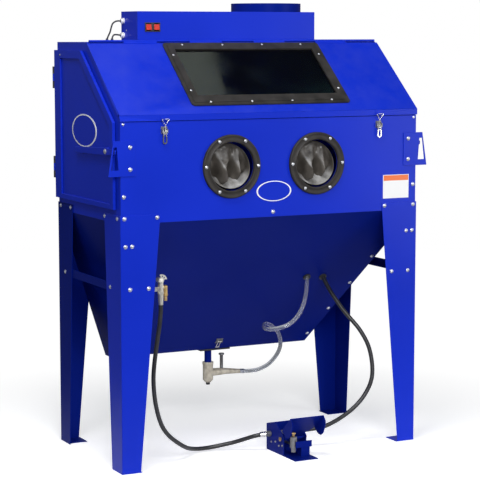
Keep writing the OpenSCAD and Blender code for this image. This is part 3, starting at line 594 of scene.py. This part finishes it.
def hose(name, points, finish, stands_for):
    route = smooth_route(points)
    item = wire(name, route, HOSE / 2, sides=6)
    item.data.materials.append(finish)
    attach(item, "cabinet")
    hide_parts(stands_for)
    print(f"{name}: {run_length(route):.2f} m")
    return item


foot_valve_end = ends_of(smooth_route(supply_route))[1:]
gun_ends = ends_of(smooth_route(gun_route))
media_ends = ends_of(smooth_route(media_route))
supply_collars = collar("supply_hose_collar", foot_valve_end, chrome)
gun_collars = collar("gun_hose_collars", gun_ends, chrome)
media_clamps = collar("media_hose_clamps", media_ends, zinc, 9.4, 12)
hose("supply_hose_run", supply_route, hose_rubber, "supply_hose")
hose("gun_hose_run", gun_route, hose_rubber, "gun_hose")
hose("media_hose_run", media_route, clear_hose, "media_hose")


# %% [markdown]
# ## Sheet metal
# The cabinet is folded and welded from sheet. A fold has a radius of a millimetre or two, and it is that
# radius, not the corner itself, that draws a bright line. The frame's solids have sharp corners, so each
# sheet is a copy of its node with whole faces, and a bevel rounds its edges.

# %% Cabinet sheets
for sheet_name in ("front_panel", "back_panel", "top_panel", "left_side_frame", "right_side_frame"):
    softened(sheet_name, sheet_name + "_sheet", blue, 1.0)
softened("lid_shell", "lid_folded", blue, 1.6, 3)
# The hopper, the braces and the rear legs take the darker copy of the blue, which is painted shade.
for hopper_part in ("hopper_front", "hopper_body"):
    softened(hopper_part, hopper_part + "_sheet", painted_shade_blue, 1.0)
for leg, finish in (("front_left_leg", blue), ("front_right_leg", blue), ("rear_left_leg", painted_shade_blue),
                    ("rear_right_leg", painted_shade_blue)):
    softened(leg, leg + "_folded", finish, 1.2, 3)
softened("leg_braces", "leg_brace_bars", painted_shade_blue, 0.8)
softened("latch_brackets", "latch_bracket_plates", blue, 0.8)
softened("work_grate", "work_grate_steel", galvanised, 0.4, 1)
softened("lid_hinge_leaf", "lid_hinge_rolled", blue, 0.3, 1)

# %% Doors, latches and hinges
for door in ("left_door", "right_door"):
    softened(door, door + "_pressed", blue, 1.6, 3)
for bar in ("left_latch_bar", "right_latch_bar"):
    softened(bar, bar + "_cut", blue, 1.0)
softened("door_hinge_posts", "door_hinge_knuckles", black_steel, 0.5)

# %% Boxes on the top
softened("light_box", "light_box_folded", blue, 1.6, 3)
# The drum takes the darker copy of the blue, which is painted shade.
softened("extractor_drum", "extractor_drum_rolled", painted_shade_blue, 1.2, 3)
softened("switch_bezel", "switch_bezel_moulded", black_steel, 0.8)
softened("light_tube", "light_tube_and_holders", white_plastic, 0.8)
softened("cable_glands", "cable_gland_nuts", white_plastic, 0.6)
for rocker in ("light_switch", "fan_switch"):
    softened(rocker, rocker + "_rocker", switch_red, 0.8)

# %% Foot valve, media outlet and small fittings
# The foot valve's base and treadle and the media pipe take the darker copy of the blue, which is painted
# shade.
softened("pedal_base", "pedal_base_folded", painted_shade_blue, 0.8)
softened("pedal_treadle", "pedal_treadle_pressed", painted_shade_blue, 0.8)
softened("pedal_valve", "pedal_valve_body", dull_steel, 0.6)
softened("pedal_plunger", "pedal_plunger_pin", brass, 0.5)
softened("outlet_plate", "outlet_plate_rubber", black_rubber, 0.8)
softened("media_pipe", "media_pipe_tube", painted_shade_blue, 0.6)
softened("media_valve", "media_valve_casting", cast_aluminium, 1.4, 3)
softened("air_tube", "air_tube_steel", dull_steel, 0.6)
softened("air_valve", "air_valve_body", nickel, 0.7)
softened("air_valve_lever", "air_valve_handle", nickel, 0.7)
softened("inlet_elbow", "inlet_elbow_brass", brass, 1.0, 3)
softened("hose_grommets", "hose_grommets_rubber", black_rubber, 0.8)
softened("blast_gun", "blast_gun_body", cast_aluminium, 1.2, 3)
softened("gun_nozzle", "gun_nozzle_ceramic", ceramic, 1.0)
softened("catch_bases", "catch_base_plates", dull_steel, 0.4)
softened("window_glass", "window_pane_glass", window_pane, 0.4)
softened("window_frame", "window_frame_rubber", frame_rubber, 1.2, 3)


# %% [markdown]
# ## Bolts
# The domed bolts are the same carriage-bolt head in three sizes. Each seat is found from the frame: the
# largest flat face of a bolt's solid is the one that lies on the sheet, so its middle and its direction
# give the seat. The head is then spun from an outline, with a flange and a small crown.

# %% Finding seats and spinning heads
def seats(node_name):
    bm = merged(node_name)
    left, found = set(bm.verts), []
    while left:
        part = island(next(iter(left)))
        left -= set(part)
        base = max({f for v in part for f in v.link_faces}, key=lambda f: f.calc_area())
        middle = base.calc_center_bounds()
        radius = max((v.co - middle).length for v in base.verts)
        found.append((middle.copy(), -base.normal, radius))
    bm.free()
    return sorted(found, key=lambda seat: tuple(seat[0]))


HEAD = [(0, 0.62), (0.16, 0.615), (0.34, 0.575), (0.52, 0.49), (0.66, 0.37), (0.76, 0.22), (0.80, 0.17),
        (0.96, 0.15), (1.0, 0.11), (1.0, 0.0), (0, 0)]


def bolt_heads(name, node_name, finish, body):
    bm = bmesh.new()
    found = seats(node_name)
    for at, outward, radius in found:
        turned(bm, scaled(HEAD, radius), facing(at, outward), 20)
    made = piece(bm, name, body, finish, [node_name], weighted=False)
    print(f"{name}: {len(found)} bolts")
    return made


bolt_heads("carriage_bolt_heads", "domed_bolts", zinc, "cabinet")
bolt_heads("window_bolt_heads", "window_screws", zinc, "lid")

# %% [markdown]
# ## Glove rings
# Each ring is one turning with a raised bead at both edges, which clamps the glove's cuff against the
# sheet. A spun outline gives the beads their round shine, where a bevelled cylinder would stay flat.

# %% Rings
low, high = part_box("glove_rings")
ring_z = (low.z + high.z) / 2
ring_out = (high.z - low.z) / 2
ring_front, ring_back = low.y, high.y
left_x, right_x = low.x + ring_out, high.x - ring_out
ring_hole = 0.088
ring_depth = ring_back - ring_front


def ring_outline():
    d, a, b = ring_depth, ring_hole, ring_out
    return [(a, 0), (a, d - 0.003), (a + 0.0012, d - 0.0008), (a + 0.004, d), (a + 0.0065, d - 0.0012),
            (a + 0.0085, d - 0.0028), (b - 0.0085, d - 0.0028), (b - 0.0065, d - 0.0016),
            (b - 0.004, d - 0.001), (b - 0.0015, d - 0.002), (b, d - 0.0045), (b, 0), (a, 0)]


bm = bmesh.new()
for x in (left_x, right_x):
    turned(bm, ring_outline(), facing((x, ring_back, ring_z), (0, -1, 0)), 96)
piece(bm, "glove_ring_pair", "cabinet", ring_black, ["glove_rings"], weighted=False)
print("ring middles", round(left_x, 3), round(right_x, 3), "height", round(ring_z, 3))


# %% [markdown]
# ## Gloves
# A blasting glove is a moulded rubber sleeve with a hand at its end. Hanging without an arm in it, it
# sags from its ring and the sleeve creases lengthways. A cloth simulation could drop the sleeve, but the
# creases that show in the port are deep and few. So the sleeve is spun, and its rings are then draped: the
# top hangs down as a curtain with long folds, and the bottom lies up as a shelf behind the ring.

# %% Gloves
SLEEVE = [(0.0, 83.5), (8, 82), (22, 80), (45, 79), (70, 77), (100, 74), (130, 71.5), (160, 69), (190, 66),
          (220, 63), (250, 60), (280, 57.5), (310, 54), (335, 50.5), (350, 49), (370, 50), (395, 51)]
LEAN = math.radians(14)
CUFF_BACK = 0.018
# Each fold's place across the sleeve, its drift along the sleeve, its width and its depth.
FOLDS = [(0.16, -8.5, 0.22, 0.050), (0.66, -3.6, 0.17, 0.040), (-0.60, 3.2, 0.16, 0.034),
         (0.12, 6.0, 0.08, 0.020)]


def swell(value, start, end):
    """Rises smoothly from 0 to 1 between start and end."""
    t = min(1.0, max(0.0, (value - start) / (end - start)))
    return t * t * (3 - 2 * t)


def draped(v, radius):
    """Moves a point of the straight sleeve to where gravity and the folds take it, in metres."""
    along, far = v.x / radius, v.z
    above = (1 - v.y / radius) / 2
    drop = 0.112 * above ** 0.9 * swell(far, 0.0, 0.095) * (1 - 0.55 * swell(far, 0.16, 0.30))
    lift = 0.042 * (1 - above) ** 1.2 * swell(far, 0.0, 0.040) * (1 - swell(far, 0.09, 0.20))
    pinch = 0.12 * above * swell(far, 0.01, 0.09)
    ripple = 0.0
    for start, drift, width, depth in FOLDS:
        ripple += depth * math.exp(-((along - start - drift * far) / width) ** 2)
    at = Vector((v.x * 34 + 9 * radius, v.y * 14, far * 26))
    ripple += 0.018 * (1 - abs(noise.noise(at))) ** 4
    grow = swell(above, 0.15, 0.8) * swell(far, 0.004, 0.05)
    v.y += drop + 0.45 * ripple * grow - lift
    v.x *= 1 - pinch
    v.z -= ripple * grow * (1 - swell(far, 0.12, 0.2))


def glove(name, node_name, x, mirror):
    bm = bmesh.new()
    profile = [bm.verts.new((r * MM, 0, s * MM)) for s, r in SLEEVE]
    edges = [bm.edges.new(pair) for pair in zip(profile, profile[1:])]
    bmesh.ops.spin(bm, geom=profile + edges, cent=(0, 0, 0), axis=(0, 0, 1), angle=math.tau, steps=90,
                   use_merge=True)
    lengthways = [e for e in bm.edges if abs(e.verts[0].co.z - e.verts[1].co.z) > 1e-5]
    bmesh.ops.subdivide_edges(bm, edges=lengthways, cuts=2, use_grid_fill=True)
    for v in bm.verts:
        draped(v.co, math.hypot(v.co.x, v.co.y))
    tip = [e for e in bm.edges if e.is_boundary and e.verts[0].co.z > 0.38]
    fingers(bm, tip, mirror)
    lay = (Matrix.Translation((x, ring_back + CUFF_BACK, ring_z))
           @ Matrix.Rotation(-math.pi / 2 - LEAN, 4, "X"))
    bmesh.ops.transform(bm, matrix=lay, verts=bm.verts)
    bmesh.ops.recalc_face_normals(bm, faces=bm.faces)
    made = piece(bm, name, "cabinet", glove_rubber, [node_name], sharp=75, weighted=False)
    wall = made.modifiers.new("rubber_wall", "SOLIDIFY")
    wall.thickness = 0.0016
    wall.offset = -1
    print(f"{name}: {len(made.data.polygons)} faces")
    return made


def fingers(bm, rim, mirror):
    """Closes the sleeve with a palm, four fingers and a thumb."""
    palm = bmesh.ops.extrude_edge_only(bm, edges=rim)["geom"]
    moved = [g for g in palm if isinstance(g, bmesh.types.BMVert)]
    bmesh.ops.scale(bm, verts=moved, vec=(0.78, 0.62, 1))
    bmesh.ops.translate(bm, verts=moved, vec=(0, 0, 0.034))
    bmesh.ops.holes_fill(bm, edges=[g for g in palm if isinstance(g, bmesh.types.BMEdge)], sides=0)
    outline = [(0, -8), (9, -6), (10.5, 4), (9.5, 24), (8.6, 42), (7.4, 50), (5, 54), (0, 56)]
    for k in range(4):
        length = (0.86, 1.0, 0.97, 0.8)[k]
        at = Vector(((k - 1.5) * 0.019 * mirror, 0, 0.418))
        lean = Vector(((k - 1.5) * 0.10 * mirror, 0.10, 1))
        turned(bm, [(r * MM, h * length * MM) for r, h in outline], facing(at, lean), 20)
    turned(bm, [(r * 1.1 * MM, h * 0.75 * MM) for r, h in outline],
           facing((-0.030 * mirror, 0.006, 0.385), (-0.55 * mirror, 0.25, 1)), 20)


glove("left_sleeve_and_glove", "left_glove", left_x, 1)
glove("right_sleeve_and_glove", "right_glove", right_x, -1)


# %% [markdown]
# ## Draw catches
# The lid is pulled down by two wire catches. The lever has two round legs and a stamped finger plate, so it
# is a softened copy. The bail is wire in the shape of a V with a cross bar, which goes up over the lip's
# keeper. Bent wire is a swept curve, so it keeps its round section through each corner.

# %% Catch wires
def catch_wires(which):
    softened(which + "_catch_lever", which + "_lever_stamped", chrome, 0.5)
    low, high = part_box(which + "_catch_bail")
    x, y = (low.x + high.x) / 2, high.y - 0.003
    bar_z, bar_y, link_z = high.z - 0.0015, low.y + 0.0015, low.z + 0.003
    half = (high.x - low.x) / 2
    apex = Vector((x, y - 0.001, link_z + 0.027))
    corner = 0.0018
    v_shape = [apex + Vector((0, 0, 0.0015)),
               Vector((x - half + corner, bar_y, bar_z - corner * 1.4)),
               Vector((x - half + corner * 0.7, bar_y, bar_z)),
               Vector((x + half - corner * 0.7, bar_y, bar_z)),
               Vector((x + half - corner, bar_y, bar_z - corner * 1.4))]
    stem = [Vector((x, y - 0.001, link_z + 0.001)), apex + Vector((0, 0, 0.003))]
    bm = wire_mesh(which + "_bail", [stem], 0.0018)
    hoop = wire_mesh(which + "_hoop", [v_shape], 0.0015, closed=True)
    spare = bpy.data.meshes.new("spare")
    hoop.to_mesh(spare)
    hoop.free()
    bm.from_mesh(spare)
    bpy.data.meshes.remove(spare)
    eye = facing((x - 0.003, y, link_z), (1, 0, 0))
    turned(bm, [(0.00125, 0), (0.003, 0), (0.003, 0.006), (0.00125, 0.006), (0.00125, 0)], eye, 20)
    piece(bm, which + "_bail_wire", which + "_bail", chrome, [which + "_catch_bail"],
          weighted=False)


catch_wires("left")
catch_wires("right")
softened("outlet_catch_lever", "outlet_catch_wire", nickel, 0.3, 1)

# %% [markdown]
# ## Small hardware
# A domed bolt holds each latch bar on its door, and a small screw sits in the corner of each door. A pale
# cap closes the air valve's handle, two nuts close the treadle's hinge rod, and a black plug closes the
# media valve from below. None of them has a solid of its own in the frame.

# %% Latch bolts, door screws, cap, nuts and plug
LATCH_Y, LATCH_Z, LATCH_BOLT = -0.213, 1.149, 0.010
DOOR_FACE, SCREW_Y, SCREW_Z, SCREW = 0.620, 0.240, 1.4825, 0.0045
HANDLE_X, HANDLE_Z = -0.456, 0.691
TREADLE_Y, TREADLE_Z, ROD_ENDS = -0.300, 0.062, ((-1, 0.0305), (1, 0.1325))
MEDIA_VALVE = (0, 0.262, 0)
CAP = [(0, -3), (6.2, -3), (6.2, 0.8), (5.2, 1.6), (0, 1.9)]
NUT = [(4.05, 0.3), (8.2, 0.3), (8.2, 4.6), (7.2, 5.2), (4.05, 5.2), (4.05, 0.3)]
PLUG = [(0, 170), (7.6, 170), (8.4, 171), (8.4, 179.8), (0, 179.8)]

for side_name, s in (("left", -1), ("right", 1)):
    low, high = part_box(side_name + "_latch_bar")
    proud = max(abs(low.x), abs(high.x)) + 0.0005
    bm = bmesh.new()
    turned(bm, scaled(HEAD, LATCH_BOLT), facing((s * proud, LATCH_Y, LATCH_Z), (s, 0, 0)), 28)
    turned(bm, scaled(HEAD, SCREW), facing((s * DOOR_FACE, SCREW_Y, SCREW_Z), (s, 0, 0)), 20)
    piece(bm, side_name + "_door_bolts", side_name + "_door", zinc, weighted=False)

handle_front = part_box("air_valve_lever")[0].y
bm = bmesh.new()
turned(bm, scaled(CAP), facing((HANDLE_X, handle_front, HANDLE_Z), (0, -1, 0)), 28)
piece(bm, "air_valve_cap", "valve_lever", ceramic, weighted=False)

bm = bmesh.new()
for s, x in ROD_ENDS:
    turned(bm, scaled(NUT), facing((x, TREADLE_Y, TREADLE_Z), (s, 0, 0)), 6)
piece(bm, "foot_valve_nuts", "cabinet", brass, weighted=False)

bm = bmesh.new()
turned(bm, scaled(PLUG), Matrix.Translation(MEDIA_VALVE), 24)
piece(bm, "media_valve_plug", "cabinet", black_rubber, weighted=False)

# %% [markdown]
# ## Blank plates
# The cabinet carries an oval plate on its front and on each door, and a card on the right. They are left
# blank here, with a rim line only. An oval is a circle scaled before it is given its thickness.

# %% Oval plates and card
def oval_plate(name, middle, outward, half_w, half_h, body, thick=0.0014, stands_for=()):
    bm = bmesh.new()
    rings = [(1.0, thick * 0.6), (0.985, thick), (0.93, thick), (0.92, thick * 0.8), (0.0, thick * 0.8)]
    face = turned(bm, [(0, 0), (1.0, 0)] + rings, Matrix(), 72)
    bmesh.ops.scale(bm, verts=face, vec=(half_w, half_h, 1))
    for f in bm.faces:
        f.material_index = 1 if math.hypot(f.calc_center_median().x / half_w,
                                           f.calc_center_median().y / half_h) < 0.915 else 0
    upright = Vector(outward).to_track_quat("Z", "Y").to_matrix().to_4x4()
    bmesh.ops.transform(bm, matrix=Matrix.Translation(middle) @ upright, verts=bm.verts)
    return piece(bm, name, body, [label_white, blue], stands_for)


FRONT_OVAL, DOOR_OVAL, PLATE_FACE = (0.0715, 0.0375), (0.120, 0.060), 0.614
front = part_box("front_panel")[0].y
oval_plate("front_oval_plate", (-0.0015, front, 0.991), (0, -1, 0), *FRONT_OVAL, "cabinet",
           stands_for=["blank_plates"])
for name, s in (("left_door", -1), ("right_door", 1)):
    oval_plate(name + "_oval_plate", (s * PLATE_FACE, 0.017, 1.211), (s, 0, 0), *DOOR_OVAL, name)

bm = bmesh.new()
card_low, card_high = Vector((0.463, front - 0.0008, 0.943)), Vector((0.576, front, 1.032))
slab(bm, card_low, card_high)
rounded(bm, 0.0003, 1)
piece(bm, "blank_card", "cabinet", label_white)
bm = bmesh.new()
slab(bm, (card_low.x + 0.002, front - 0.0011, card_high.z - 0.022),
     (card_high.x - 0.002, front - 0.0007, card_high.z - 0.002))
rounded(bm, 0.00015, 1)
piece(bm, "card_band", "cabinet", label_orange)
print("plates on the front at y", round(front, 4))


# %% [markdown]
# ## Switch leads
# Two thin leads leave the glands, bend down beside the light box and enter the top through a rubber boot.
# Their routes keep to the frame's own leads, which lie in the same place.

# %% Leads and boots
GLAND_X, GLAND_Y, LEAD = -416, 140, 0.003
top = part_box("top_panel")[1].z
upper = [(GLAND_X, GLAND_Y, 1608), (GLAND_X - 18, 140, 1607), (GLAND_X - 32, 140, 1598),
         (GLAND_X - 38, 141, 1582), (GLAND_X - 42, 143, 1566), (GLAND_X - 50, 147, 1546),
         (GLAND_X - 52, 148, 1530.3)]
lower = [(GLAND_X, GLAND_Y, 1555), (GLAND_X - 16, 137, 1557), (GLAND_X - 30, 134, 1556),
         (GLAND_X - 37, 133, 1546), (GLAND_X - 38, 133, 1530.3)]
bm = wire_mesh("leads", [smooth_route(upper, 0.003), smooth_route(lower, 0.003)], LEAD, sides=3)
piece(bm, "switch_lead_pair", "cabinet", black_rubber, ["switch_leads"], weighted=False)
bm = bmesh.new()
boot = [(0, 0), (9, 0), (9, 1.6), (6, 3), (5.2, 9), (4.4, 13), (3.6, 14), (0, 14)]
for x, y in ((GLAND_X - 52, 148), (GLAND_X - 38, 133)):
    turned(bm, scaled(boot), Matrix.Translation((x * MM, y * MM, top)), 24)
piece(bm, "lead_boots", "cabinet", black_rubber, weighted=False)

# %% [markdown]
# ## Floor and light
# Large soft lights suit a gloss blue object, because they lay long gradients on its sheets. The floor and
# the backdrop are white for the camera alone. Reflections see a dark studio with one grey band: a white
# room would wash out the blue, and it would fill the sloped pane, which has to look deep.

# %% Floor
def floor_material():
    """Pale near the object, where the shadows fall, and glowing white further off."""
    made, tree, shader = material("pale_floor", (0.86, 0.86, 0.87), 0.6, Specular_IOR_Level=0.1)
    cloud = node(tree, "TexNoise", Vector=here(tree), Scale=1.2, Detail=3.0).outputs["Fac"]
    away = node(tree, "VectorMath", operation="LENGTH")
    put(tree, away.inputs[0], here(tree))
    far = ramp(tree, away.outputs["Value"], 0.7, 1.7)
    near = blend_colours(tree, cloud, (0.86, 0.86, 0.87, 1), (0.90, 0.90, 0.91, 1))
    tree.links.new(blend_colours(tree, far, near, (0, 0, 0, 1)), shader.inputs["Base Color"])
    seen = node(tree, "LightPath").outputs["Is Camera Ray"]
    glow = blend_colours(tree, far, (0.50, 0.50, 0.50, 1), (1, 1, 1, 1))
    tree.links.new(blend_colours(tree, seen, (0.10, 0.10, 0.10, 1), glow), shader.inputs["Emission Color"])
    shader.inputs["Emission Strength"].default_value = 1.0
    return made


bm = bmesh.new()
bmesh.ops.create_circle(bm, cap_ends=True, segments=96, radius=6)
floor_mesh = bpy.data.meshes.new("floor")
bm.to_mesh(floor_mesh)
bm.free()
floor_mesh.materials.append(floor_material())
floor = bpy.data.objects.new("floor", floor_mesh)
bpy.context.scene.collection.objects.link(floor)


# %% Room and lights
def room():
    world = bpy.data.worlds.new("room")
    bpy.context.scene.world = world
    world.use_nodes = True
    tree = world.node_tree
    way = node(tree, "TexCoord").outputs["Generated"]
    height = node(tree, "SeparateXYZ", Vector=way).outputs["Z"]
    band = times(tree, ramp(tree, height, -0.1, 0.15), ramp(tree, height, 0.5, 0.2))
    studio = blend_colours(tree, band, (0.03, 0.035, 0.045, 1), (0.34, 0.36, 0.40, 1))
    seen = node(tree, "LightPath").outputs["Is Camera Ray"]
    tree.links.new(blend_colours(tree, seen, studio, (1, 1, 1, 1)), tree.nodes["Background"].inputs["Color"])
    tree.nodes["Background"].inputs["Strength"].default_value = 1.0


def soft_light(name, at, aim, size, watts, tone=(1, 1, 1)):
    lamp = bpy.data.lights.new(name, "AREA")
    lamp.shape = "RECTANGLE"
    lamp.size, lamp.size_y = size
    lamp.energy = watts
    lamp.color = tone
    item = bpy.data.objects.new(name, lamp)
    item.location = at
    item.rotation_euler = (Vector(aim) - Vector(at)).to_track_quat("-Z", "Y").to_euler()
    bpy.context.scene.collection.objects.link(item)


room()
soft_light("key", (-1.4, -5.0, 3.0), (0, 0, 1.0), (2.4, 2.4), 190)
soft_light("fill", (3.4, -3.4, 1.4), (0, 0, 0.8), (2.0, 2.4), 60)
soft_light("side", (-4.0, 0.6, 2.2), (0, 0, 1.1), (1.6, 2.4), 12)
soft_light("top", (-1.6, -1.6, 4.4), (0, -0.1, 1.4), (1.6, 1.4), 90)
soft_light("pane_left", (0.78, 0.2, 5.2), (-0.2, 0, 1.4), (1.0, 1.8), 5.5, (0.92, 1.0, 0.86))
soft_light("pane_right", (2.62, 0.2, 5.2), (0.3, 0, 1.4), (0.2, 1.8), 1.0, (0.3, 0.8, 0.9))
bpy.context.scene.view_settings.view_transform = "Standard"
